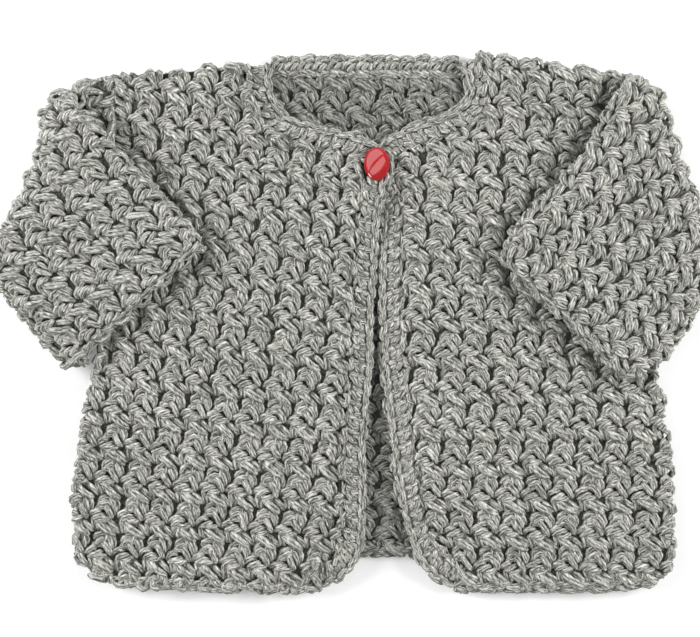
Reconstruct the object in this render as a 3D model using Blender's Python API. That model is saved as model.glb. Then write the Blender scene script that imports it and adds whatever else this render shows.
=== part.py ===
"""Baby cardigan crocheted in thick grey yarn, lying flat on its back with both sleeves folded over.

Metres, +Z up. The origin is on the surface it lies on, under the middle of its outline; +X is the
wearer's left and +Y points to the neck. The back lies lowest, the two fronts lie on it, and each
sleeve leaves its armhole outwards, turns over an outer fold and comes back over its front.
"""
import bmesh
import bpy
from mathutils import Vector

MM = 0.001

# Driving dimensions, in millimetres
CLOTH = 4.5            # one layer of the crocheted cloth
GAP = 0.3              # air between neighbouring pieces
ROUND = 1.5            # rounding of a cut layer's rim
BAND = 10.5            # width of the two-row edging
NECK_BAND = 8.0        # width of the edging across the back of the neck
GRID = 14.0            # spacing of the rows and columns that let a panel bend
LEVEL_FRONT = CLOTH + GAP
LEVEL_OVER = 2 * (CLOTH + GAP)
CROWN = 3.3            # how much higher a sleeve is inside than at its drooping outline
LAP_RISE = CLOTH + GAP            # how far the lapped band rides up on the one below
LAP_EDGE_X = 9.2                  # the lap is fully raised from here towards +X
LAP_RUN_X = 22.0                  # and comes down over this length
LAP_EDGE_Y = 52.0                 # fully raised from here towards the neck
LAP_RUN_Y = 26.0
BUTTON_AT = (12.5, 74.5)
BUTTON_SIZE = (12.2, 16.0)        # oval, width and height
BUTTON_DOME = 3.2
BUTTON_RIM = 1.6
SHANK_RADIUS = 1.3
BUTTONHOLE_RADIUS = 1.7

# The side of the body from the hem corner up to the shoulder end: y, wearer's right x, left x
SIDE = [
    # y,     right,   left
    (-122.5, -108.0, 143.0),
    (-117.5, -122.0, 149.5),
    (-108.0, -128.5, 151.0),
    (-84.0, -129.5, 151.0),
    (-62.0, -127.8, 149.6),
    (-36.0, -123.5, 146.0),
    (-14.0, -118.8, 143.4),
    (12.0, -117.0, 140.0),
    (43.0, -116.0, 137.0),
    (80.0, -112.0, 133.0),
    (116.5, -109.0, 130.0),
]

# Outer edge of the wearer's right edging, from the hem round the front corner to the shoulder
RIGHT_EDGE = [
    # x,     y
    (-14.0, -125.0), (-5.5, -121.5), (2.0, -114.5), (6.6, -105.5), (7.2, -90.0), (7.3, -62.0),
    (8.6, -42.0), (11.0, -20.0), (11.6, 8.0), (13.2, 34.0), (14.1, 51.0), (16.4, 62.0),
    (19.2, 71.0), (18.2, 79.0), (11.5, 84.8), (2.8, 88.8), (-6.0, 91.4), (-16.0, 93.2),
    (-24.5, 96.2), (-31.0, 99.8), (-35.0, 105.0), (-36.6, 112.0), (-36.6, 121.2),
]

# Outer edge of the wearer's left edging; its lap lies under the right one
LEFT_EDGE = [
    # x,     y
    (48.5, -125.0), (40.5, -120.5), (33.5, -113.5), (28.6, -103.0), (24.6, -90.0), (20.4, -66.0),
    (17.4, -42.0), (14.8, -16.0), (13.8, 12.0), (13.9, 34.0), (14.5, 51.0), (11.0, 62.0),
    (9.6, 72.0), (10.4, 81.0), (17.0, 87.6), (26.0, 92.0), (36.0, 95.8), (45.0, 98.8),
    (52.0, 102.0), (55.6, 107.5), (55.0, 114.5), (51.0, 121.2),
]

# Hem of each front between its side corner and its edging, and hem of the back, lowest edges
RIGHT_HEM = [(-60.0, -124.6), (-30.0, -125.5)]
LEFT_HEM = [(120.0, -125.5), (84.0, -125.0)]
BACK_HEM = [(-80.0, -119.5), (-30.0, -113.0), (18.0, -108.5), (70.0, -113.5), (118.0, -121.0)]

# Sleeves: one row a section across the fold, in x, from the shoulder end to the cuff's far corner.
# outer is the outline, wall the armhole or the tube's own side, inner the end that lies on the
# front, low the underside, top the height at the outline, cuff how open the layers' edge is.
RIGHT_SLEEVE = [
    # y,    outer,   wall,   inner,   low,  top,  cuff
    (114.5, -119.0, -109.8, -114.0, 0.8, 9.9, 0.0),
    (110.0, -131.0, -109.9, -122.0, 0.0, 13.0, 0.0),
    (105.0, -141.0, -110.3, -125.5, 0.0, 17.0, 0.0),
    (98.0, -144.5, -110.9, -123.5, 0.0, 18.3, 0.0),
    (88.0, -145.0, -111.7, -115.5, 0.0, 18.3, 0.0),
    (80.0, -146.5, -112.3, -108.5, 0.0, 18.3, 0.0),
    (64.0, -153.0, -114.1, -91.5, 0.0, 18.3, 0.0),
    (52.0, -158.5, -115.4, -81.0, 0.0, 18.3, 0.0),
    (43.0, -163.0, -116.3, -73.5, 0.0, 18.3, 0.4),
    (36.0, -166.0, -116.6, -69.8, 0.0, 18.3, 1.2),
    (29.0, -168.0, -116.8, -77.0, 0.0, 18.3, 1.8),
    (20.0, -166.0, -117.1, -87.5, 1.5, 17.0, 1.8),
    (12.0, -160.5, -117.3, -96.5, 3.0, 16.0, 1.8),
    (0.0, -150.0, -118.2, -109.0, 4.5, 14.5, 1.8),
    (-10.0, -142.0, -124.5, -120.0, 4.5, 13.6, 1.8),
    (-19.0, -133.5, -128.0, -124.5, 4.5, 13.2, 1.2),
]
LEFT_SLEEVE = [
    # y,    outer,   wall,   inner,   low,  top,  cuff
    (116.0, 134.0, 130.8, 131.5, 0.8, 9.9, 0.0),
    (112.0, 142.5, 130.9, 128.0, 0.0, 13.5, 0.0),
    (107.0, 146.5, 131.4, 125.0, 0.0, 17.0, 0.0),
    (98.0, 149.0, 132.0, 120.5, 0.0, 18.3, 0.0),
    (80.0, 153.8, 133.3, 110.5, 0.0, 18.3, 0.0),
    (64.0, 160.5, 135.1, 98.0, 0.0, 18.3, 0.0),
    (52.0, 165.0, 136.4, 84.5, 0.0, 18.3, 0.0),
    (43.0, 167.0, 137.3, 77.0, 0.0, 18.3, 0.4),
    (32.0, 168.0, 138.4, 72.2, 0.0, 18.3, 1.2),
    (23.0, 168.0, 139.2, 76.5, 0.5, 18.3, 1.8),
    (12.0, 165.5, 140.3, 89.5, 2.0, 17.0, 1.8),
    (-2.0, 157.0, 142.2, 104.8, 6.0, 16.0, 1.8),
    (-14.0, 147.5, 144.2, 118.3, 9.9, 16.5, 1.8),
    (-20.0, 142.0, 138.0, 123.5, 9.9, 16.5, 1.8),
    (-25.0, 134.5, 132.0, 127.8, 9.9, 15.0, 1.2),
]


def clear_scene():
    for old in list(bpy.data.objects):
        bpy.data.objects.remove(old, do_unlink=True)
    for old in list(bpy.data.collections):
        bpy.data.collections.remove(old)


def make_material(name, colour, roughness):
    material = bpy.data.materials.new(name)
    material.use_nodes = True
    shader = material.node_tree.nodes["Principled BSDF"]
    shader.inputs["Base Color"].default_value = (*colour, 1.0)
    shader.inputs["Roughness"].default_value = roughness
    shader.inputs["Metallic"].default_value = 0.0
    return material


def smooth_step(value, start, length):
    t = min(max((value - start) / length, 0.0), 1.0)
    return t * t * (3.0 - 2.0 * t)


def lap_rise(x, y):
    """Height that the wearer's right front gains where its edging rides over the left one."""
    across = smooth_step(x, LAP_EDGE_X - LAP_RUN_X, LAP_RUN_X)
    along = smooth_step(y, LAP_EDGE_Y - LAP_RUN_Y, LAP_RUN_Y)
    return LAP_RISE * across * along


def lies_flat(_x, _y):
    return 0.0


def add_object(name, mesh, material, collection):
    obj = bpy.data.objects.new(name, mesh)
    mesh.materials.append(material)
    collection.objects.link(obj)
    mesh.shade_smooth()
    mesh.set_sharp_from_angle(angle=0.7)
    return obj


def offset_line(line, distance):
    """The line moved to its left by distance, with mitred corners."""
    points = [Vector(p) for p in line]
    moved = []
    for i, point in enumerate(points):
        before = points[max(i - 1, 0)]
        after = points[min(i + 1, len(points) - 1)]
        into = (point - before).normalized() if i > 0 else (after - point).normalized()
        out = (after - point).normalized() if i < len(points) - 1 else into
        side_in = Vector((-into.y, into.x))
        side_out = Vector((-out.y, out.x))
        mitre = (side_in + side_out).normalized()
        moved.append(point + mitre * distance / max(mitre.dot(side_in), 0.6))
    return [(p.x, p.y) for p in moved]


def layer(name, outline, level, rise, material, collection):
    """A flat layer of cloth of this outline with a rounded rim, bent upwards by rise(x, y)."""
    bm = bmesh.new()
    rim = [bm.verts.new((x, y, level)) for x, y in outline]
    face = bm.faces.new(rim)
    face.normal_update()
    if face.normal.z > 0:
        face.normal_flip()
    top = bmesh.ops.extrude_face_region(bm, geom=[face])["geom"]
    raised = [v for v in top if isinstance(v, bmesh.types.BMVert)]
    bmesh.ops.translate(bm, verts=raised, vec=(0, 0, CLOTH))
    edges = [e for e in bm.edges if abs(e.verts[0].co.z - e.verts[1].co.z) < GAP]
    bmesh.ops.bevel(bm, geom=edges, offset=ROUND, segments=2, profile=0.5, affect="EDGES",
                    clamp_overlap=True)
    xs = [x for x, _ in outline]
    ys = [y for _, y in outline]
    for axis, low, high in ((0, min(xs), max(xs)), (1, min(ys), max(ys))):
        place = low + GRID
        while place < high - GRID / 2:
            where = Vector((0, 0, 0))
            where[axis] = place
            across = Vector((0, 0, 0))
            across[axis] = 1
            geom = bm.verts[:] + bm.edges[:] + bm.faces[:]
            bmesh.ops.bisect_plane(bm, geom=geom, plane_co=where, plane_no=across, dist=0.01)
            place += GRID
    for vert in bm.verts:
        vert.co.z += rise(vert.co.x, vert.co.y)
    bmesh.ops.scale(bm, vec=(MM, MM, MM), verts=bm.verts)
    bmesh.ops.recalc_face_normals(bm, faces=bm.faces)
    mesh = bpy.data.meshes.new(name)
    bm.to_mesh(mesh)
    bm.free()
    return add_object(name, mesh, material, collection)


def band(name, edge, inward, level, rise, material, collection):
    """The edging: the strip between an edge line and the same line moved inwards."""
    inner = offset_line(edge, inward)
    return layer(name, edge + inner[::-1], level, rise, material, collection)


def sleeve_ring(row):
    """One section of a folded sleeve, in x and z, from the armhole wall round the outer fold."""
    y, outer, wall, inner, low, top, cuff = row
    out = 1.0 if outer > inner else -1.0
    width = abs(outer - inner)
    nose = min(3.6, 0.35 * width)
    crown = top + CROWN
    bend = min((top - low) / 2, 0.42 * width, 0.8 * abs(outer - wall))
    middle = (low + top) / 2
    nose_height = crown - LEVEL_OVER
    seam = LEVEL_OVER + nose_height / 2
    ring = [(wall, LEVEL_OVER), (wall, low), (outer - out * bend, low)]
    ring += [(outer - out * bend * 0.3, low + (middle - low) * 0.3), (outer, middle),
             (outer - out * bend * 0.3, top - (top - middle) * 0.3), (outer - out * bend, top)]
    ring += [(inner + out * (nose + 0.45 * (width - nose - bend)), crown),
             (inner + out * nose, crown)]
    ring += [(inner + out * nose * 0.25, crown - nose_height * 0.14),
             (inner, crown - nose_height * 0.3),
             (inner + out * cuff, seam),
             (inner, LEVEL_OVER + nose_height * 0.3),
             (inner + out * nose * 0.25, LEVEL_OVER + nose_height * 0.14),
             (inner + out * nose, LEVEL_OVER)]
    return [(x, y, z) for x, z in ring]


def sleeve(name, rows, material, collection):
    """Both layers of a sleeve, turned over its outer fold, as one rounded solid."""
    bm = bmesh.new()
    rings = [[bm.verts.new(p) for p in sleeve_ring(row)] for row in rows]
    count = len(rings[0])
    for here, there in zip(rings, rings[1:]):
        for i in range(count):
            j = (i + 1) % count
            bm.faces.new((here[i], here[j], there[j], there[i]))
    bm.faces.new(rings[0])
    bm.faces.new(rings[-1][::-1])
    bmesh.ops.scale(bm, vec=(MM, MM, MM), verts=bm.verts)
    bmesh.ops.triangulate(bm, faces=bm.faces)
    bmesh.ops.recalc_face_normals(bm, faces=bm.faces)
    mesh = bpy.data.meshes.new(name)
    bm.to_mesh(mesh)
    bm.free()
    return add_object(name, mesh, material, collection)


def side_line(column):
    return [(row[column], row[0]) for row in SIDE]


def front_outline(edge, hem, column):
    """A front: side, shoulder, the inner line of its edging, and hem."""
    mirrored = column == 2
    inward = -(BAND + GAP) if mirrored else BAND + GAP
    inner = offset_line(edge, inward)
    along = (Vector(edge[1]) - Vector(edge[0])).normalized() * GAP
    end = [(x - along.x, y - along.y) for x, y in (inner[0], edge[0])]
    return side_line(column) + inner[::-1] + end + hem[::-1]


def back_outline():
    """The back: both sides, both shoulders, the notch for the neck's edging, and the hem."""
    left_of_neck = RIGHT_EDGE[-1][0] - GAP
    right_of_neck = LEFT_EDGE[-1][0] + GAP
    shoulder = RIGHT_EDGE[-1][1]
    notch = shoulder - NECK_BAND + CLOTH - GAP
    neck = [(left_of_neck, shoulder), (left_of_neck, notch),
            (right_of_neck, notch), (right_of_neck, shoulder)]
    return side_line(1) + neck + side_line(2)[::-1] + BACK_HEM[::-1]


def neck_band_outline():
    left = RIGHT_EDGE[-1][0]
    right = LEFT_EDGE[-1][0]
    top = RIGHT_EDGE[-1][1] + CLOTH
    return [(left, top - NECK_BAND), (right, top - NECK_BAND), (right, top - 0.8), (right - 6, top),
            (left + 6, top), (left, top - 0.8)]


def button(collection, material):
    """An oval domed button, its shank, and a cutter for the hole that the shank goes through."""
    x, y = BUTTON_AT
    seat = LEVEL_OVER + CLOTH + GAP
    half_w, half_h = BUTTON_SIZE[0] / 2, BUTTON_SIZE[1] / 2
    bpy.ops.mesh.primitive_uv_sphere_add(segments=32, ring_count=16, radius=1.0)
    obj = bpy.context.object
    bm = bmesh.new()
    bm.from_mesh(obj.data)
    for vert in bm.verts:
        height = BUTTON_DOME if vert.co.z > 0 else BUTTON_RIM
        vert.co = Vector((vert.co.x * half_w, vert.co.y * half_h, vert.co.z * height))
    geom = bm.verts[:] + bm.edges[:] + bm.faces[:]
    cut_level = -BUTTON_RIM * 0.8
    cut = bmesh.ops.bisect_plane(bm, geom=geom, plane_co=(0, 0, cut_level), plane_no=(0, 0, -1),
                                 clear_outer=True, dist=0.001)
    rim = [e for e in cut["geom_cut"] if isinstance(e, bmesh.types.BMEdge)]
    bmesh.ops.contextual_create(bm, geom=rim)
    bmesh.ops.translate(bm, verts=bm.verts, vec=(x, y, seat - cut_level))
    bmesh.ops.scale(bm, vec=(MM, MM, MM), verts=bm.verts)
    bmesh.ops.recalc_face_normals(bm, faces=bm.faces)
    mesh = bpy.data.meshes.new("button")
    bm.to_mesh(mesh)
    bm.free()
    bpy.data.objects.remove(obj, do_unlink=True)
    add_object("button", mesh, material, collection)

    shank_low = LEVEL_FRONT + CLOTH + GAP
    shank_high = seat - GAP
    shank = peg("button_shank", SHANK_RADIUS, shank_low, shank_high, collection)
    shank.data.materials.append(material)


def peg(name, radius, low, high, collection):
    x, y = BUTTON_AT
    bpy.ops.mesh.primitive_cylinder_add(vertices=20, radius=radius * MM, depth=(high - low) * MM,
                                        location=(x * MM, y * MM, (low + high) / 2 * MM))
    obj = bpy.context.object
    obj.name = name
    obj.data.name = name
    for owner in list(obj.users_collection):
        owner.objects.unlink(obj)
    collection.objects.link(obj)
    return obj


def cut_buttonhole(target, cutters):
    low = LEVEL_OVER - 2 * CLOTH
    high = LEVEL_OVER + 2 * CLOTH
    cutter = peg("buttonhole_cutter", BUTTONHOLE_RADIUS, low, high, cutters)
    cutter.hide_render = True
    cutter.display_type = "WIRE"
    hole = target.modifiers.new("buttonhole", "BOOLEAN")
    hole.operation = "DIFFERENCE"
    hole.solver = "EXACT"
    hole.object = cutter


def main():
    clear_scene()
    parts = bpy.data.collections.new("baby_cardigan")
    cutters = bpy.data.collections.new("cutters")
    bpy.context.scene.collection.children.link(parts)
    bpy.context.scene.collection.children.link(cutters)
    yarn = make_material("grey_yarn", (0.33, 0.33, 0.30), 0.9)
    red = make_material("red_plastic", (0.62, 0.02, 0.03), 0.12)

    layer("back", back_outline(), 0.0, lies_flat, yarn, parts)
    layer("back_neck_band", neck_band_outline(), 0.0, lies_flat, yarn, parts)
    layer("right_front", front_outline(RIGHT_EDGE, RIGHT_HEM, 1), LEVEL_FRONT, lap_rise, yarn, parts)
    layer("left_front", front_outline(LEFT_EDGE, LEFT_HEM, 2), LEVEL_FRONT, lies_flat, yarn, parts)
    lapped = band("right_front_band", RIGHT_EDGE, BAND, LEVEL_FRONT, lap_rise, yarn, parts)
    band("left_front_band", LEFT_EDGE, -BAND, LEVEL_FRONT, lies_flat, yarn, parts)
    sleeve("right_sleeve", RIGHT_SLEEVE, yarn, parts)
    sleeve("left_sleeve", LEFT_SLEEVE, yarn, parts)
    button(parts, red)
    cut_buttonhole(lapped, cutters)


main()
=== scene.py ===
"""Looks of the crocheted baby cardigan: yarn stitches over thin shells, the button, floor and light.

Metres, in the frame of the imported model. Every stitch is a few short strands of yarn, charted
below as one repeat of the stitch pattern, and laid over the skins of the CAD solids by loops.
"""
import math

import bmesh
import bpy
import numpy as np
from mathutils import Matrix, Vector
from mathutils.bvhtree import BVHTree


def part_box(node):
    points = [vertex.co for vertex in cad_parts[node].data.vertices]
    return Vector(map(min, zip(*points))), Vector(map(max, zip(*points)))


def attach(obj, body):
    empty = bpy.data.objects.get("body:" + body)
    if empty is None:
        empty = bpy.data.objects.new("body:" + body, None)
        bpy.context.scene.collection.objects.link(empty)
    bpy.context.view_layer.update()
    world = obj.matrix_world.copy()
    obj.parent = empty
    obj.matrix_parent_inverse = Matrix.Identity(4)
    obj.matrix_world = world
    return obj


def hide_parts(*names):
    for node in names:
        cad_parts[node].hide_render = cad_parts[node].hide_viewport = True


MM = 0.001

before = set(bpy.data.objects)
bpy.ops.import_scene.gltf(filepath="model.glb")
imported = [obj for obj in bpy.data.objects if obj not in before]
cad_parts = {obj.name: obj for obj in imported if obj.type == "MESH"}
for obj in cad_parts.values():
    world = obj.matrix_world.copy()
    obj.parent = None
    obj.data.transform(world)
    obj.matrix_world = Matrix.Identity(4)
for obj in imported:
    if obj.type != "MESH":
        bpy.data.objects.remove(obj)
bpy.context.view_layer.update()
rng = np.random.default_rng(20)

# ---------------------------------------------------------------- sizes, in millimetres
REPEAT_ACROSS = 12.5      # one cluster of the stitch pattern, across the row
REPEAT_DOWN = 16.9        # two rows of the pattern
GROUND = 2.8              # how far the deepest yarn lies below the cloth's outer skin
RIM_INSET = 1.4           # how far the base shell's rim lies inside the CAD solid
LEVEL_INSET = 1.9         # and its level faces
REST = 0.1 * MM           # nothing of the yarn lies lower than this
YARN_JITTER = 0.32        # how far a strand's ends wander
CELL_JITTER = 0.30        # how far a whole cluster wanders
EDGING_PITCH = 6.7        # one chain of the edging
RIM_PITCH = 6.4           # one strand of the chain along a hem or cuff
CREASE_STEP = 6.0         # how finely a shell is cut, to bend into its creases
SLEEVE_INSET = 2.0        # how far a sleeve's shell lies inside its CAD solid
SEAM_BRIDGE = 1.2         # how far past a panel's outline stitches stay level
NECK_BRIDGE = 2.0         # and past the back neck edging's
SLEEVE_COVER = 7.0        # stitches this far inside a sleeve's outline are hidden and left out
FRONT_COVER = 5.0         # and this far inside a front's, on the back
BUTTON_COVER = 1.05       # a stitch is under the button below this share of its half size squared
SLEEVE_REACH = 9.0        # how far past a sleeve's outline stitches run down its side
CUFF_REACH = 6.0          # and the cuff's chain
BOLD_RADIUS = 1.55        # only strands at least this thick are laid on the underside
UNDERSIDE_LIFT = -1.2     # and they lie this much deeper
HEM_Y = -130.0            # a level below every hem

# painted shade: the inside of the back gets darker copies of the yarn and ground colours, for the
# shade in the front opening and at the neck
INSIDE_YARN_PAINTED_SHADE = 0.66        # colours of the inside of the back, as a share of the outside's
INSIDE_GROUND_PAINTED_SHADE = 0.5

# One repeat of the stitch pattern. x and y are shares of the repeat, y down towards the hem, and
# z is the height of the strand's centre over the deepest yarn, at its start, middle and end.
STITCH = [
    # name,     start x, y, z,       middle x, y, z,     end x, y, z,        radius
    ("base_1", (-0.06, 0.55, 0.2), (0.20, 0.30, 1.3), (0.55, 0.46, 0.4), 1.75),
    ("base_2", (0.24, 0.10, 0.6), (0.38, 0.28, 2.3), (0.58, 0.50, 1.0), 1.70),
    ("base_3", (0.30, 0.70, 0.3), (0.60, 0.80, 1.2), (0.92, 0.96, 0.3), 1.70),
    ("post_1", (-0.05, 0.67, 1.0), (0.00, 0.84, 2.2), (0.02, 1.02, 0.8), 1.45),
    ("post_2", (0.13, 0.76, 1.0), (0.15, 0.88, 2.2), (0.18, 1.02, 0.8), 1.30),
    ("cap_1", (0.08, 0.27, 0.8), (0.20, 0.06, 3.0), (0.52, 0.07, 2.0), 1.40),
    ("cap_2", (0.13, 0.36, 1.2), (0.27, 0.19, 3.8), (0.50, 0.22, 2.6), 1.40),
    ("cap_3", (0.09, 0.44, 0.8), (0.28, 0.34, 3.1), (0.44, 0.42, 1.8), 1.35),
    ("mid", (0.49, 0.02, 1.4), (0.53, 0.14, 3.2), (0.46, 0.32, 1.8), 1.25),
    ("side_1", (0.60, 0.05, 0.8), (0.79, 0.17, 2.4), (0.80, 0.43, 0.8), 1.35),
    ("side_2", (0.54, 0.10, 1.6), (0.68, 0.25, 3.6), (0.74, 0.50, 1.4), 1.35),
    ("centre", (0.36, 0.24, 2.4), (0.52, 0.41, 4.4), (0.67, 0.64, 1.8), 1.60),
    ("lip_1", (-0.24, 0.62, 0.8), (-0.06, 0.47, 3.3), (0.20, 0.47, 1.8), 1.55),
    ("lip_2", (-0.10, 0.70, 1.0), (0.12, 0.58, 4.0), (0.40, 0.55, 2.2), 1.55),
    ("lip_3", (0.08, 0.68, 1.8), (0.31, 0.70, 4.2), (0.56, 0.62, 1.8), 1.50),
    ("bar_1", (0.14, 0.74, 1.8), (0.45, 0.90, 5.0), (0.82, 1.10, 1.8), 1.95),
    ("bar_2", (0.52, 0.73, 1.0), (0.74, 0.85, 2.8), (0.98, 1.02, 0.8), 1.55),
]

# One chain of the edging: x along the edge in shares of a chain, y across from the edge in mm
EDGING = [
    # name,        start x, y, z,      middle x, y, z,    end x, y, z,       radius
    ("rim_low", (-0.15, -0.6, -0.8), (0.35, -0.9, 0.0), (1.0, -0.6, -0.8), 1.30),
    ("base", (0.00, 3.8, 0.4), (0.50, 4.8, 1.4), (1.00, 3.8, 0.4), 1.60),
    ("chain_out", (0.00, 2.3, 1.6), (0.50, 0.8, 3.3), (1.18, 1.0, 1.4), 1.15),
    ("chain_in", (0.46, 1.0, 1.6), (0.98, 2.6, 3.4), (1.62, 2.3, 1.4), 1.15),
    ("sc_1", (0.00, 3.8, 0.8), (0.15, 5.4, 3.0), (0.48, 6.9, 1.4), 1.30),
    ("sc_2", (0.56, 3.6, 1.2), (0.40, 4.9, 3.4), (0.66, 6.7, 1.4), 1.30),
    ("sc_3", (0.70, 4.0, 0.8), (0.90, 5.2, 2.6), (0.80, 6.9, 1.0), 1.25),
    ("row_1", (-0.10, 6.4, 1.0), (0.16, 8.0, 3.3), (0.50, 9.4, 1.2), 1.40),
    ("row_2", (0.74, 6.6, 1.2), (0.58, 8.0, 3.3), (0.86, 9.6, 1.0), 1.35),
    ("row_3", (0.20, 9.2, 0.8), (0.60, 10.4, 2.6), (1.05, 9.8, 0.8), 1.35),
]

# One stitch of the plainer edging across the back of the neck, charted the same way
NECK_EDGING = [
    # name,        start x, y, z,      middle x, y, z,    end x, y, z,       radius
    ("rim", (-0.05, 0.2, 0.4), (0.45, -0.4, 1.2), (1.05, 0.2, 0.4), 1.50),
    ("base", (-0.05, 6.4, 0.4), (0.45, 5.6, 1.2), (1.05, 6.4, 0.4), 1.60),
    ("arc_1", (0.00, 2.6, 1.0), (0.22, -0.2, 3.0), (0.62, 0.4, 1.6), 1.35),
    ("arc_2", (0.34, 2.8, 1.4), (0.64, 0.8, 3.3), (1.02, 2.2, 1.0), 1.35),
    ("ball_1", (0.02, 5.6, 1.0), (0.10, 3.4, 3.1), (0.48, 2.6, 1.8), 1.30),
    ("ball_2", (0.32, 6.0, 1.2), (0.52, 4.2, 3.7), (0.80, 3.0, 1.8), 1.30),
    ("ball_3", (0.72, 5.8, 1.0), (0.94, 4.4, 2.9), (0.92, 2.8, 1.2), 1.25),
    ("leaf_1", (-0.10, 6.6, 1.4), (0.30, 7.4, 3.5), (0.78, 9.2, 1.2), 1.50),
    ("leaf_2", (0.40, 6.2, 1.4), (0.72, 7.4, 3.3), (1.05, 8.8, 1.2), 1.40),
]

# One strand of the chain that finishes a hem, and one of the slimmer chain on a cuff
HEM = [
    # name,  start x, y, z,      middle x, y, z,    end x, y, z,       radius
    ("low", (-0.20, -0.5, -0.4), (0.40, -0.9, 0.6), (1.10, -0.5, -0.4), 1.30),
    ("out", (0.00, 2.1, 1.4), (0.50, 0.7, 2.9), (1.18, 1.0, 1.2), 1.15),
    ("in", (0.46, 1.0, 1.4), (0.98, 2.5, 3.1), (1.62, 2.2, 1.2), 1.15),
]
CUFF = [
    # name,  start x, y, z,      middle x, y, z,    end x, y, z,       radius
    ("out", (-0.15, 0.6, 2.2), (0.45, -0.5, 3.6), (1.10, 0.5, 2.2), 0.95),
    ("in", (0.30, 0.6, 2.2), (0.90, 1.5, 3.8), (1.50, 0.7, 2.2), 0.95),
    ("low", (-0.10, -1.2, 0.6), (0.40, -1.9, 1.8), (1.10, -1.3, 0.6), 1.30),
]

# Cross-section of a strand: three plies on the side that shows, flat beneath
PLIES = [
    # degrees from the top, share of the radius
    (-110.0, 0.93), (-60.0, 1.0), (-30.0, 0.87), (0.0, 1.02), (30.0, 0.87), (60.0, 1.0),
    (110.0, 0.93),
]
# The plainer strand of the underside
PLAIN = [(-90.0, 1.0), (-30.0, 1.0), (30.0, 1.0), (90.0, 1.0), (180.0, 0.9)]

# Outer edge of each edging, from the hem round the front corner to the shoulder
RIGHT_EDGE = [
    # x,     y
    (-14.0, -125.0), (-5.5, -121.5), (2.0, -114.5), (6.6, -105.5), (7.2, -90.0), (7.3, -62.0),
    (8.6, -42.0), (11.0, -20.0), (11.6, 8.0), (13.2, 34.0), (14.1, 51.0), (16.4, 62.0),
    (19.2, 71.0), (18.2, 79.0), (11.5, 84.8), (2.8, 88.8), (-6.0, 91.4), (-16.0, 93.2),
    (-24.5, 96.2), (-31.0, 99.8), (-35.0, 105.0), (-36.6, 112.0), (-36.6, 121.2),
]
LEFT_EDGE = [
    # x,     y
    (48.5, -125.0), (40.5, -120.5), (33.5, -113.5), (28.6, -103.0), (24.6, -90.0), (20.4, -66.0),
    (17.4, -42.0), (14.8, -16.0), (13.8, 12.0), (13.9, 34.0), (14.5, 51.0), (11.0, 62.0),
    (9.6, 72.0), (10.4, 81.0), (17.0, 87.6), (26.0, 92.0), (36.0, 95.8), (45.0, 98.8),
    (52.0, 102.0), (55.6, 107.5), (55.0, 114.5), (51.0, 121.2),
]

# Soft creases of the fronts: start, end, depth and half width. A negative depth is a ridge.
CREASES = [
    # x,     y          x,     y      depth, half width
    ((-116.0, -58.0), (-86.0, -92.0), 0.9, 12.0),
    ((-110.0, -76.0), (-118.0, -112.0), 0.6, 9.0),
    ((-34.0, -104.0), (-4.0, -107.0), 1.2, 8.0),
    ((34.0, -104.0), (70.0, -112.0), 1.2, 8.0),
    ((66.0, -34.0), (118.0, -35.0), 0.8, 5.0),
    ((70.0, 4.0), (78.0, -14.0), 0.7, 8.0),
    ((-106.0, 92.0), (-72.0, 66.0), 0.9, 10.0),
    ((92.0, 92.0), (76.0, 72.0), 0.8, 9.0),
    ((-123.0, 103.0), (-109.0, 84.0), 2.4, 4.5),
    ((125.0, 103.0), (115.0, 90.0), 2.4, 4.0),
    ((-62.0, 40.0), (-40.0, -60.0), -0.6, 16.0),
    ((40.0, 30.0), (52.0, -66.0), -0.5, 14.0),
]


# ---------------------------------------------------------------- materials
class Graph:
    """Short calls for building one material's nodes."""

    def __init__(self, name):
        self.material = bpy.data.materials.new(name)
        self.material.use_nodes = True
        self.tree = self.material.node_tree
        self.shader = self.tree.nodes["Principled BSDF"]

    def node(self, kind, **settings):
        made = self.tree.nodes.new(kind)
        for key, value in settings.items():
            setattr(made, key, value)
        return made

    def link(self, source, target):
        self.tree.links.new(source, target)

    def put(self, target, value):
        """A plain value or another node's output, into an input."""
        if isinstance(value, bpy.types.NodeSocket):
            self.link(value, target)
        else:
            target.default_value = value

    def math(self, operation, a, b=0.0):
        made = self.node("ShaderNodeMath", operation=operation)
        self.put(made.inputs[0], a)
        self.put(made.inputs[1], b)
        return made.outputs[0]

    def total(self, *terms):
        """The sum of value × weight terms."""
        whole = 0.0
        for value, weight in terms:
            whole = self.math("ADD", self.math("MULTIPLY", value, weight), whole)
        return whole

    def ramp(self, value, stops):
        made = self.node("ShaderNodeValToRGB")
        elements = made.color_ramp.elements
        while len(elements) < len(stops):
            elements.new(0.5)
        for element, (place, colour) in zip(elements, stops):
            element.position = place
            element.color = (*colour, 1.0)
        self.link(value, made.inputs[0])
        return made.outputs[0]

    def noise(self, vector, scale, detail=2.0, roughness=0.5):
        made = self.node("ShaderNodeTexNoise")
        made.inputs["Scale"].default_value = scale
        made.inputs["Detail"].default_value = detail
        made.inputs["Roughness"].default_value = roughness
        self.link(vector, made.inputs["Vector"])
        return made.outputs["Fac"]

    def combine(self, x, y, z):
        made = self.node("ShaderNodeCombineXYZ")
        for socket, value in zip(made.inputs, (x, y, z)):
            self.put(socket, value)
        return made.outputs[0]

    def bump(self, height, strength, distance):
        made = self.node("ShaderNodeBump")
        made.inputs["Strength"].default_value = strength
        made.inputs["Distance"].default_value = distance
        self.link(height, made.inputs["Height"])
        self.link(made.outputs[0], self.shader.inputs["Normal"])


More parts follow.
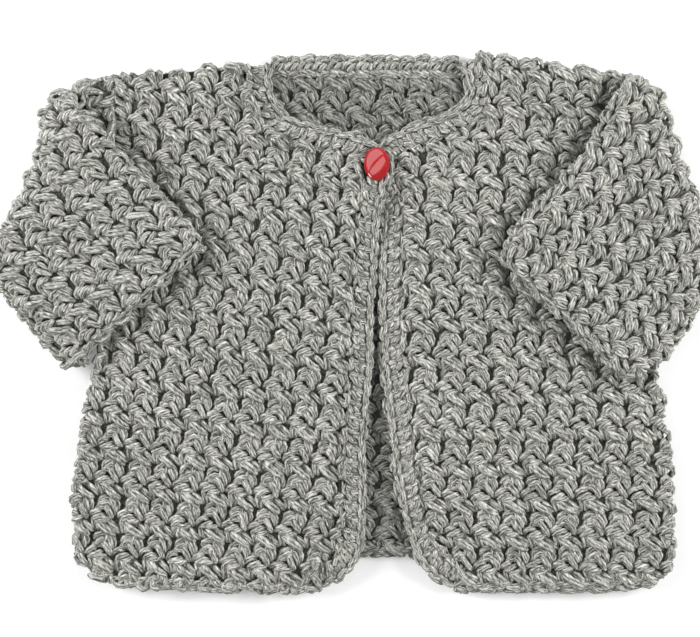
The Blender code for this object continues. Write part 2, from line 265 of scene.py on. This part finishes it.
def yarn_material(name, light):
    """Heathered yarn: three plies on the side that shows, with light and dark fibres along them.

    The map named yarn runs once round a strand in x, and along it in y, in centimetres. light
    scales its colours; below 1 it paints shade into them, for yarn that lies in shade.
    """
    g = Graph(name)
    where = g.node("ShaderNodeUVMap", uv_map="yarn")
    split = g.node("ShaderNodeSeparateXYZ")
    g.link(where.outputs[0], split.inputs[0])
    around, along = split.outputs[0], split.outputs[1]
    tone = g.node("ShaderNodeAttribute", attribute_name="tone").outputs["Fac"]
    apart = g.math("MULTIPLY", tone, 37.0)
    drift = g.noise(g.combine(g.math("MULTIPLY", around, 2.0), along, apart), 2.6, 1.0)
    turned = g.math("ADD", around, g.math("MULTIPLY", g.math("SUBTRACT", drift, 0.5), 0.16))
    # the ply wave is dark in the grooves between plies: painted shade in the colour, beside the real
    # relief it gives the bump
    plies = g.math("ABSOLUTE", g.math("SINE", g.math("MULTIPLY", turned, 6.0 * math.pi)))
    wound = g.math("ADD", turned, g.math("MULTIPLY", along, 0.38))
    streaks = g.noise(g.combine(g.math("MULTIPLY", wound, 14.0), g.math("MULTIPLY", along, 4.2),
                                apart), 1.0, 1.0)
    fibres = g.noise(g.combine(g.math("MULTIPLY", wound, 28.0), g.math("MULTIPLY", along, 8.0),
                               apart), 1.0, 2.0, 0.6)
    shade = g.total((plies, 0.14), (streaks, 0.60), (fibres, 0.42), (tone, 0.05))
    # colours from the darkest to the lightest fibre: the yarn's own heather, its darkest end partly
    # painted shade between the plies and fibres
    stops = [(0.43, (0.040, 0.040, 0.036)), (0.52, (0.135, 0.135, 0.121)),
             (0.61, (0.30, 0.30, 0.272)), (0.70, (0.49, 0.49, 0.447)), (0.81, (0.76, 0.76, 0.70))]
    stops = [(at, tuple(light * part for part in colour)) for at, colour in stops]
    g.link(g.ramp(shade, stops), g.shader.inputs["Base Color"])
    g.bump(g.total((plies, 0.55), (streaks, 0.7), (fibres, 0.4)), 1.0, 0.40 * MM)
    g.shader.inputs["Roughness"].default_value = 0.85
    g.shader.inputs["Specular IOR Level"].default_value = 0.2
    g.shader.inputs["Sheen Weight"].default_value = 0.2
    g.shader.inputs["Sheen Roughness"].default_value = 0.5
    return g.material


def ground_material(name, shade):
    """The cloth behind the stitches: the same yarn, deep in shade, as a soft tangle."""
    g = Graph(name)
    place = g.node("ShaderNodeTexCoord").outputs["Object"]
    tangle = g.noise(place, 900.0, 3.0, 0.6)
    # painted shade: the ground's colours are the yarn's, darkened for the shade deep behind the
    # stitches, and shade darkens them further
    deep = (shade * 0.035, shade * 0.035, shade * 0.031)
    lit = (shade * 0.15, shade * 0.15, shade * 0.136)
    g.link(g.ramp(tangle, [(0.35, deep), (0.65, lit)]), g.shader.inputs["Base Color"])
    g.bump(tangle, 0.8, 0.6 * MM)
    g.shader.inputs["Roughness"].default_value = 0.95
    g.shader.inputs["Specular IOR Level"].default_value = 0.1
    return g.material


def button_material():
    """Deep red moulded plastic, polished, with the faintest cloud in its colour."""
    g = Graph("red_button")
    place = g.node("ShaderNodeTexCoord").outputs["Object"]
    cloud = g.noise(place, 160.0, 2.0)
    g.link(g.ramp(cloud, [(0.3, (0.33, 0.002, 0.004)), (0.7, (0.40, 0.003, 0.006))]),
           g.shader.inputs["Base Color"])
    g.bump(g.noise(place, 500.0), 0.04, 0.1 * MM)
    g.shader.inputs["Roughness"].default_value = 0.16
    g.shader.inputs["Specular IOR Level"].default_value = 0.2
    g.shader.inputs["Coat Weight"].default_value = 1.0
    g.shader.inputs["Coat IOR"].default_value = 1.5
    g.shader.inputs["Coat Roughness"].default_value = 0.06
    return g.material


def floor_material():
    """A white ground that glows faintly, so that the piece's soft shadow stays light."""
    g = Graph("floor")
    place = g.node("ShaderNodeTexCoord").outputs["Object"]
    grain = g.noise(place, 40.0, 2.0)
    g.link(g.ramp(grain, [(0.3, (0.90, 0.90, 0.90)), (0.7, (0.915, 0.915, 0.915))]),
           g.shader.inputs["Base Color"])
    g.shader.inputs["Roughness"].default_value = 0.7
    g.shader.inputs["Specular IOR Level"].default_value = 0.2
    g.shader.inputs["Emission Color"].default_value = (1.0, 1.0, 1.0, 1.0)
    g.shader.inputs["Emission Strength"].default_value = 0.12
    return g.material


# ---------------------------------------------------------------- surfaces that stitches lie on
class Surface:
    """The skin of a CAD solid from above (facing 1) or below (facing -1)."""

    def __init__(self, node, facing=1, bridge=0.0):
        """bridge: how far past the outline, in millimetres, stitches stay level over a seam."""
        self.bridge = bridge * MM
        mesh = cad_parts[node].data
        verts = [v.co.copy() for v in mesh.vertices]
        faces = [tuple(p.vertices) for p in mesh.polygons]
        self.tree = BVHTree.FromPolygons(verts, faces)
        self.facing = facing
        low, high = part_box(node)
        self.level = high[2] if facing > 0 else low[2]

    def covers(self, x, y, margin=0.0):
        """Whether the solid spans (x, y), in millimetres, and margin round it."""
        for dx, dy in ((0, 0), (margin, 0), (-margin, 0), (0, margin), (0, -margin)):
            start = Vector(((x + dx) * MM, (y + dy) * MM, 1.0))
            if self.tree.ray_cast(start, Vector((0, 0, -1)))[0] is None:
                return False
        return True

    def at(self, x, y):
        """Point, outward normal and overshoot at (x, y): past the rim it runs down the rim."""
        start = Vector((x * MM, y * MM, self.facing))
        point, normal, _, _ = self.tree.ray_cast(start, Vector((0, 0, -self.facing)))
        if point is not None:
            return point, normal, 0.0
        flat = Vector((x * MM, y * MM, self.level))
        point, normal, _, _ = self.tree.find_nearest(flat)
        away = Vector((flat.x - point.x, flat.y - point.y, 0))
        over = away.length
        if over < self.bridge:
            return flat, Vector((0, 0, self.facing)), over / MM
        down = Vector((flat.x, flat.y, point.z - self.facing * over))
        point, normal, _, _ = self.tree.find_nearest(down)
        return point, normal, over / MM

    def rim(self, start, end, spacing=7.0, reach=26.0, step=0.5):
        """The outline beside the straight way from start to end, found from its right side."""
        ahead = np.array(end, float) - np.array(start, float)
        length = np.linalg.norm(ahead)
        ahead /= length
        aside = np.array([-ahead[1], ahead[0]])
        points = []
        for distance in np.linspace(0.0, length, round(length / spacing) + 1):
            place = np.array(start) + ahead * distance
            for inward in np.arange(-reach, reach, step):
                x, y = place + aside * inward
                if self.covers(x, y):
                    points.append((x, y))
                    break
        return points


# ---------------------------------------------------------------- strands of yarn
class Strands:
    """Collects short strands, then makes them one mesh of tapered, twisted tubes."""

    TAPER = [(0.0, 0.55), (0.10, 0.86), (0.34, 1.0), (0.66, 1.0), (0.90, 0.86), (1.0, 0.55)]
    TWIST = math.radians(60.0)    # how far the plies turn over a strand
    FLATNESS = 0.88
    UNEVEN = 0.05                 # how far the surface wanders, as a share of the radius

    def __init__(self, section=PLIES):
        self.angles = np.radians([a for a, _ in section])
        self.section = np.array([r for _, r in section])
        self.curves = []
        self.ups = []
        self.radii = []

    def add(self, points, up, radius):
        self.curves.append([tuple(p) for p in points])
        self.ups.append(tuple(up))
        self.radii.append(radius * MM)

    def rings(self):
        """Every strand's rings of points, and the way along it at each ring."""
        curves = np.array(self.curves)
        ups = np.array(self.ups)
        share = np.array([t for t, _ in self.TAPER])[None, :, None]
        width = np.array([w for _, w in self.TAPER])[None, :]
        first, middle, last = (curves[:, i][:, None, :] for i in range(3))
        pull = 2 * middle - (first + last) / 2
        line = (1 - share) ** 2 * first + 2 * share * (1 - share) * pull + share ** 2 * last
        ahead = 2 * (1 - share) * (pull - first) + 2 * share * (last - pull)
        ahead /= np.linalg.norm(ahead, axis=2, keepdims=True) + 1e-12
        side = np.cross(ahead, ups[:, None, :])
        side /= np.linalg.norm(side, axis=2, keepdims=True) + 1e-12
        up = np.cross(side, ahead)
        shape = (len(curves), len(self.TAPER), len(self.angles))
        turn = self.angles[None, None, :] + self.TWIST * (share - 0.5)
        reach = np.array(self.radii)[:, None] * width
        reach = reach[:, :, None] * self.section[None, None, :] * rng.normal(1, self.UNEVEN, shape)
        ring = (-np.sin(turn)[..., None] * side[:, :, None, :]
                + self.FLATNESS * np.cos(turn)[..., None] * up[:, :, None, :])
        step = np.linalg.norm(np.diff(line, axis=1), axis=2)
        along = np.concatenate([np.zeros((len(curves), 1)), np.cumsum(step, axis=1)], axis=1)
        points = line[:, :, None, :] + reach[..., None] * ring
        points[..., 2] = np.maximum(points[..., 2], REST)    # flat where the piece rests
        return points, along

    def faces(self, count):
        """Quads between the rings and a cap at each end."""
        rings, sides = len(self.TAPER), len(self.angles)
        base = (np.arange(count) * rings * sides)[:, None, None]
        row = (np.arange(rings - 1) * sides)[None, :, None]
        here = np.arange(sides)[None, None, :]
        there = (here + 1) % sides
        quads = np.stack([base + row + here, base + row + there, base + row + sides + there,
                          base + row + sides + here], axis=-1).reshape(-1, 4)
        low_caps = base[:, 0] + np.arange(sides)[::-1][None, :]
        high_caps = base[:, 0] + (rings - 1) * sides + np.arange(sides)[None, :]
        return quads.tolist() + low_caps.tolist() + high_caps.tolist()

    def uvs(self, along):
        """The yarn map for every corner, in the order of the faces."""
        count, rings = along.shape
        sides = len(self.angles)
        turn = (self.angles - self.angles[0]) / (2 * math.pi)
        after = np.append(turn[1:], 1.0)
        shape = (count, rings - 1, sides)
        along = along / 0.01 + rng.uniform(0, 40, count)[:, None]
        u0 = np.broadcast_to(turn, shape)
        u1 = np.broadcast_to(after, shape)
        v0 = np.broadcast_to(along[:, :-1, None], shape)
        v1 = np.broadcast_to(along[:, 1:, None], shape)
        quads = np.stack([np.stack([u0, v0], -1), np.stack([u1, v0], -1),
                          np.stack([u1, v1], -1), np.stack([u0, v1], -1)], axis=3)
        caps = np.stack([np.broadcast_to(turn, (count, sides)),
                         np.broadcast_to(along[:, :1], (count, sides))], axis=-1)
        return np.concatenate([quads.reshape(-1, 2), caps.reshape(-1, 2), caps.reshape(-1, 2)])

    def build(self, name, material):
        points, along = self.rings()
        count, rings, sides, _ = points.shape
        mesh = bpy.data.meshes.new(name)
        mesh.from_pydata(points.reshape(-1, 3).tolist(), [], self.faces(count))
        mesh.uv_layers.new(name="yarn").data.foreach_set("uv", self.uvs(along).ravel())
        tone = mesh.attributes.new("tone", "FLOAT", "POINT")
        tone.data.foreach_set("value", np.repeat(rng.uniform(0, 1, count), rings * sides))
        mesh.shade_smooth()
        mesh.materials.append(material)
        obj = bpy.data.objects.new(name, mesh)
        bpy.context.scene.collection.objects.link(obj)
        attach(obj, "root")
        triangles = count * (2 * (rings - 1) * sides + 2 * (sides - 2))
        print(f"{name}: {count} strands, {triangles} triangles")
        return obj


def wander(amount):
    return rng.normal(0.0, amount, 2)


def lay_strand(strands, surface, places, heights, radius, reach, hidden, dip=None):
    """One strand through three (x, y) places, at these heights over the surface's deepest yarn."""
    middle_x, middle_y = places[1]
    if hidden is not None and hidden(middle_x, middle_y):
        return
    if dip is not None:
        drop = dip(middle_x, middle_y)
        heights = [height - drop for height in heights]
    spots = [surface.at(x, y) for x, y in places]
    if spots[1][2] > reach:
        return
    points = [point + normal * (height - GROUND) * MM
              for (point, normal, _), height in zip(spots, heights)]
    if (points[0] - points[2]).length < 1.0 * MM:
        return
    strands.add(points, spots[1][1], radius)


def lay_pattern(strands, surface, to_plane, columns, rows, reach=3.0, hidden=None, lift=0.0,
                chart=STITCH, dip=None):
    """Repeats the stitch chart over a surface. to_plane turns (across, down) mm into (x, y) mm."""
    for column in range(*columns):
        for row in range(*rows):
            shift = wander(CELL_JITTER)
            swell = rng.normal(1.0, 0.05)
            for _, start, middle, end, radius in chart:
                places = []
                for x, y, _ in (start, middle, end):
                    across = (column + x) * REPEAT_ACROSS + shift[0]
                    down = (row + y) * REPEAT_DOWN + shift[1]
                    loose = wander(YARN_JITTER)
                    places.append(to_plane(across + loose[0], down + loose[1]))
                heights = [p[2] + lift + rng.normal(0, 0.15) for p in (start, middle, end)]
                lay_strand(strands, surface, places, heights, radius * swell, reach, hidden,
                           dip)


def body_plane(origin, slope=0.0, lean=0.0, stretch=1.0):
    """The pattern hung from origin: its rows fall by slope, its columns drift by lean."""
    def to_plane(across, down):
        return origin[0] + across * stretch + lean * down, origin[1] - down - slope * across
    return to_plane


def turned_plane(origin, degrees, lean=0.0, stretch=1.0):
    """The pattern turned about origin: down runs along the sleeve to its cuff."""
    c, s = math.cos(math.radians(degrees)), math.sin(math.radians(degrees))

    def to_plane(across, down):
        across = across * stretch + lean * down
        return origin[0] + c * across + s * down, origin[1] + s * across - c * down
    return to_plane


class Line:
    """A polyline through millimetre points, walked by its length."""

    def __init__(self, points):
        self.points = np.array(points, float)
        steps = np.linalg.norm(np.diff(self.points, axis=0), axis=1)
        self.marks = np.concatenate([[0.0], np.cumsum(steps)])
        self.length = self.marks[-1]

    def at(self, distance):
        x = np.interp(distance, self.marks, self.points[:, 0])
        y = np.interp(distance, self.marks, self.points[:, 1])
        return np.array([x, y])

    def spot(self, distance, aside):
        """The place that far along, and aside to the left of the way it runs."""
        ahead = self.at(distance + 2.0) - self.at(distance - 2.0)
        ahead /= np.linalg.norm(ahead) + 1e-9
        place = self.at(distance) + aside * np.array([-ahead[1], ahead[0]])
        beyond = min(distance, 0.0) + max(distance - self.length, 0.0)
        return place + ahead * beyond


def lay_edging(strands, surface, line, inward, chart, about_pitch, reach=4.0, hidden=None):
    """A chart repeated along a line, from its outer edge inwards."""
    count = round(line.length / about_pitch)
    pitch = line.length / count
    for number in range(count):
        shift = wander(0.2)
        for _, start, middle, end, radius in chart:
            places = []
            for x, y, _ in (start, middle, end):
                loose = wander(0.2)
                places.append(line.spot((number + x) * pitch + shift[0] + loose[0],
                                        inward * y + shift[1] + loose[1]))
            heights = [p[2] + rng.normal(0, 0.1) for p in (start, middle, end)]
            lay_strand(strands, surface, places, heights, radius, reach, hidden)


# ---------------------------------------------------------------- pieces
def cut_grid(bm, low, high, axis):
    """Cuts a mesh by planes across one axis, so that it can bend between them."""
    for place in np.arange(low[axis], high[axis], CREASE_STEP * MM)[1:]:
        at = [0.0, 0.0, 0.0]
        facing = [0.0, 0.0, 0.0]
        at[axis] = place
        facing[axis] = 1.0
        geometry = list(bm.verts) + list(bm.edges) + list(bm.faces)
        bmesh.ops.bisect_plane(bm, geom=geometry, plane_co=at, plane_no=facing)


def shell(node, name, inset, material, drop=None):
    """The thin base cloth: the CAD solid's form, drawn in along its normals, with its creases."""
    bm = bmesh.new()
    bm.from_mesh(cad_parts[node].data)
    bmesh.ops.remove_doubles(bm, verts=bm.verts, dist=0.02 * MM)
    bm.normal_update()
    for vert, normal in [(v, v.normal.copy()) for v in bm.verts]:
        vert.co -= normal * Vector((inset[0], inset[0], inset[1])) * MM
    if drop is not None:
        low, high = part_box(node)
        cut_grid(bm, low, high, 0)
        cut_grid(bm, low, high, 1)
        for vert in bm.verts:
            vert.co.z -= drop(vert.co.x / MM, vert.co.y / MM) * MM
    mesh = bpy.data.meshes.new(name)
    bm.to_mesh(mesh)
    bm.free()
    mesh.materials.clear()
    mesh.materials.append(material)
    mesh.shade_smooth()
    obj = bpy.data.objects.new(name, mesh)
    bpy.context.scene.collection.objects.link(obj)
    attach(obj, "root")
    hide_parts(node)
    return obj


def make_button(material):
    """The domed oval button, in the CAD button's place."""
    low, high = (Vector(c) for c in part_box("button"))
    centre = (low + high) / 2
    size = high - low
    bpy.ops.mesh.primitive_uv_sphere_add(segments=64, ring_count=32, radius=1.0)
    obj = bpy.context.object
    obj.name = "red_button"
    for vert in obj.data.vertices:
        x, y, z = vert.co
        flat = 0.62 if z > 0 else 0.38
        lip = 0.04 * math.exp(-((z - 0.05) / 0.16) ** 2)
        vert.co = Vector((x * (size.x / 2) * (1 - 0.03 + lip * 0.5),
                          y * (size.y / 2) * (1 - 0.03 + lip * 0.5), z * size.z * flat))
    obj.location = (centre.x, centre.y, low.z + size.z * 0.38)
    bpy.ops.object.transform_apply(location=True, rotation=False, scale=False)
    obj.data.shade_smooth()
    obj.data.materials.append(material)
    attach(obj, "root")
    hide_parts("button")
    return obj


# ---------------------------------------------------------------- the cardigan
yarn = yarn_material("grey_yarn", 1.0)
# painted shade: darker copies of the yarn and its ground for the inside of the back, which lies in
# shade
inside_yarn_painted_shade = yarn_material("grey_yarn_inside_painted_shade", INSIDE_YARN_PAINTED_SHADE)
ground = ground_material("yarn_ground", 1.0)
inside_ground_painted_shade = ground_material("yarn_ground_inside_painted_shade", INSIDE_GROUND_PAINTED_SHADE)
red = button_material()

surfaces = {name: Surface(name, bridge=SEAM_BRIDGE) for name in
            ("back", "right_front", "left_front", "right_front_band", "left_front_band")}
surfaces["back_neck_band"] = Surface("back_neck_band", bridge=NECK_BRIDGE)
surfaces.update({name: Surface(name) for name in ("right_sleeve", "left_sleeve")})
UPPER = ("right_front", "left_front", "right_front_band", "left_front_band")
SLEEVE_NAMES = ("right_sleeve", "left_sleeve")
button_low, button_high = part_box("button")
BUTTON_MIDDLE = [(a + b) / 2 / MM for a, b in zip(button_low, button_high)]
BUTTON_HALF = [(b - a) / 2 / MM for a, b in zip(button_low, button_high)]


def under_sleeve(x, y):
    return any(surfaces[name].covers(x, y, SLEEVE_COVER) for name in SLEEVE_NAMES)


RINGS = (1.5, 3.0, 4.5, 6.0, 7.5, 9.0)
WAYS = [(math.cos(a), math.sin(a)) for a in np.radians(range(0, 360, 45))]


def distance_to(names, x, y):
    """About how far (x, y) lies outside these pieces' outlines, in steps, or infinity."""
    for ring in RINGS:
        for way_x, way_y in WAYS:
            if any(surfaces[name].covers(x + ring * way_x, y + ring * way_y) for name in names):
                return ring
    return math.inf


def trough(depth, width):
    """A trough's drop by the distance from the piece that presses the cloth down."""
    return lambda distance: depth * math.exp(-(distance / width) ** 2)


def crease_drop(x, y):
    """How far the creases lower the fronts at (x, y), in millimetres."""
    drop = 0.0
    for (x0, y0), (x1, y1), depth, width in CREASES:
        length = math.hypot(x1 - x0, y1 - y0)
        ahead = ((x1 - x0) / length, (y1 - y0) / length)
        along = (x - x0) * ahead[0] + (y - y0) * ahead[1]
        aside = (y - y0) * ahead[0] - (x - x0) * ahead[1]
        beyond = max(-along, along - length, 0.0)
        drop += depth * math.exp(-(aside / width) ** 2 - (beyond / (1.5 * width)) ** 2)
    return drop


def front_drop(x, y):
    """The fronts' creases, and the trough that a sleeve's weight presses beside it."""
    return crease_drop(x, y) + trough(2.4, 7.5)(distance_to(SLEEVE_NAMES, x, y))


def front_dip(x, y):
    """The same for the fronts' stitches, which the sleeve presses deeper than the shell."""
    return crease_drop(x, y) + trough(3.4, 7.5)(distance_to(SLEEVE_NAMES, x, y))


def back_dip(x, y):
    """The inside of the back: lower in the front opening than at the neck, and beside an edge."""
    lowered = 0.6 if y > 70.0 else 1.1
    return lowered + trough(0.5, 6.0)(distance_to(UPPER, x, y))


def under_fronts(x, y):
    return any(surfaces[name].covers(x, y, FRONT_COVER) for name in UPPER)


def under_button(x, y):
    across = (x - BUTTON_MIDDLE[0]) / BUTTON_HALF[0]
    along = (y - BUTTON_MIDDLE[1]) / BUTTON_HALF[1]
    return across ** 2 + along ** 2 < BUTTON_COVER


def under_sleeve_or_button(x, y):
    return under_sleeve(x, y) or under_button(x, y)


PANELS = {
    # name: the pattern's plane, its columns and rows, and the stretch of hem it ends in
    "right_front": (body_plane((-76.1, -32.7), slope=0.08, lean=-0.10), (-6, 10), (-11, 7),
                    (-122.0, -14.0)),
    "left_front": (body_plane((55.5, -37.4), slope=0.0, lean=0.07), (-6, 9), (-11, 7),
                   (48.5, 143.0)),
}
for name, (plane, columns, rows, (hem_start, hem_end)) in PANELS.items():
    front = Strands()
    lay_pattern(front, surfaces[name], plane, columns, rows, hidden=under_sleeve_or_button,
                dip=front_dip)
    hem = Line(surfaces[name].rim((hem_start, HEM_Y), (hem_end, HEM_Y)))
    lay_edging(front, surfaces[name], hem, 1.0, HEM, RIM_PITCH)
    front.build(name + "_stitches", yarn)

inside = Strands()
lay_pattern(inside, surfaces["back"], body_plane((0.0, 111.2), stretch=1.09), (-5, 7), (-2, 15),
            hidden=under_fronts, dip=back_dip)
hem = Line(surfaces["back"].rim((-20.0, HEM_Y), (54.0, HEM_Y)))
lay_edging(inside, surfaces["back"], hem, 1.0, HEM, RIM_PITCH, hidden=under_fronts)
# painted shade: the inside's strands take the darker yarn
inside.build("back_inside_stitches", inside_yarn_painted_shade)

BANDS = {"right_front_band": (RIGHT_EDGE, 1.0), "left_front_band": (LEFT_EDGE, -1.0)}
for name, (edge, inward) in BANDS.items():
    edging = Strands()
    lay_edging(edging, surfaces[name], Line(edge), inward, EDGING, EDGING_PITCH,
               hidden=under_button)
    edging.build(name + "_stitches", yarn)
low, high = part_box("back_neck_band")
edging = Strands()
lay_edging(edging, surfaces["back_neck_band"],
           Line([(low[0] / MM, high[1] / MM), (high[0] / MM, high[1] / MM)]), -1.0,
           NECK_EDGING, EDGING_PITCH)
edging.build("back_neck_band_stitches", yarn)

SLEEVES = {
    # name: the pattern's plane, then the ends of the cuff, its rim on their right
    "right_sleeve": (turned_plane((-133.7, 41.2), 39.8, lean=0.07, stretch=1.02),
                     (-123.5, -17.0), (-71.0, 33.0)),
    "left_sleeve": (turned_plane((125.4, 66.8), -39.0, lean=-0.20, stretch=0.97),
                    (74.0, 30.0), (127.0, -23.0)),
}
for name, (plane, cuff_start, cuff_end) in SLEEVES.items():
    sleeve = Strands()
    lay_pattern(sleeve, surfaces[name], plane, (-10, 11), (-9, 9), reach=SLEEVE_REACH)
    cuff = Line(surfaces[name].rim(cuff_start, cuff_end, reach=12.0))
    lay_edging(sleeve, surfaces[name], cuff, 1.0, CUFF, RIM_PITCH, reach=CUFF_REACH)
    sleeve.build(name + "_stitches", yarn)

bold = [strand for strand in STITCH if strand[4] >= BOLD_RADIUS]
below = Strands(PLAIN)
lay_pattern(below, Surface("back", -1), body_plane((0.0, 111.2)), (-12, 14), (-2, 15),
            lift=UNDERSIDE_LIFT, chart=bold)
below.build("back_underside_stitches", yarn)

for name in surfaces:
    inset = (RIM_INSET, LEVEL_INSET)
    if name in SLEEVE_NAMES:
        inset = (SLEEVE_INSET, SLEEVE_INSET)
    drop = front_drop if name in ("right_front", "left_front") else None
    # painted shade: the back's shell takes the darker ground
    material = inside_ground_painted_shade if name == "back" else ground
    shell(name, name + "_cloth", inset, material, drop)

button = make_button(red)
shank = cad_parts["button_shank"]
shank.data.materials.clear()
shank.data.materials.append(red)

# ---------------------------------------------------------------- floor, camera and light
bpy.ops.mesh.primitive_plane_add(size=6.0, location=(0, 0, -0.0002))
floor = bpy.context.object
floor.name = "floor"
floor.data.materials.append(floor_material())

VIEW_WIDTH = 0.329        # metres across the picture at the fronts' height
VIEW_HEIGHT = 0.85
FRONT_LEVEL = 0.0093
camera_data = bpy.data.cameras.new("camera")
camera = bpy.data.objects.new("camera", camera_data)
camera_data.sensor_width = 36.0
camera_data.lens = 36.0 * VIEW_HEIGHT / VIEW_WIDTH
camera.location = (0.0, 0.00235, FRONT_LEVEL + VIEW_HEIGHT)
bpy.context.scene.collection.objects.link(camera)
bpy.context.scene.camera = camera


def area_light(name, place, size, power, target=(0.0, 0.0, 0.0)):
    data = bpy.data.lights.new(name, "AREA")
    data.shape = "RECTANGLE"
    data.size, data.size_y = size
    data.energy = power
    obj = bpy.data.objects.new(name, data)
    obj.location = place
    obj.rotation_euler = (Vector(target) - Vector(place)).to_track_quat("-Z", "Y").to_euler()
    bpy.context.scene.collection.objects.link(obj)
    return obj


for name, place, power in (("side_left", (-1.35, 0.35, 0.85), 26.0),
                           ("side_right", (1.35, 0.25, 0.85), 24.0)):
    area_light(name, place, (0.8, 0.8), power).visible_glossy = False

# A soft overhead spot, brightest in the middle of the piece and faint towards its corners
spot_data = bpy.data.lights.new("middle", "SPOT")
spot_data.energy = 7.0
spot_data.spot_size = math.radians(19.0)
spot_data.spot_blend = 1.0
spot_data.shadow_soft_size = 0.12
spot = bpy.data.objects.new("middle", spot_data)
spot.location = (0.0, 0.01, 1.5)
spot.visible_glossy = False
bpy.context.scene.collection.objects.link(spot)

# Softboxes that only the polished button mirrors: two overhead, with a gap between them, and a
# small one low on the lower left
PANEL_HEIGHT = 1.2
PANEL_TURN = math.radians(33.0)
for name, middle, size, power in (("panel_upper", 1.65, (4.0, 2.7), 92.0),
                                  ("panel_lower", -0.165, (2.6, 0.57), 13.0)):
    place = (-middle * math.sin(PANEL_TURN), middle * math.cos(PANEL_TURN) + 0.07, PANEL_HEIGHT)
    panel = area_light(name, place, size, power)
    panel.rotation_euler = (0.0, 0.0, PANEL_TURN)
    panel.visible_diffuse = False
area_light("kicker", (-1.0, -0.8, 0.30), (0.5, 0.3), 9.0).visible_diffuse = False
world = bpy.data.worlds.new("studio")
world.use_nodes = True
world.node_tree.nodes["Background"].inputs["Color"].default_value = (1.0, 1.0, 1.0, 1.0)
world.node_tree.nodes["Background"].inputs["Strength"].default_value = 0.40
bpy.context.scene.world = world
bpy.context.scene.view_settings.view_transform = "Standard"
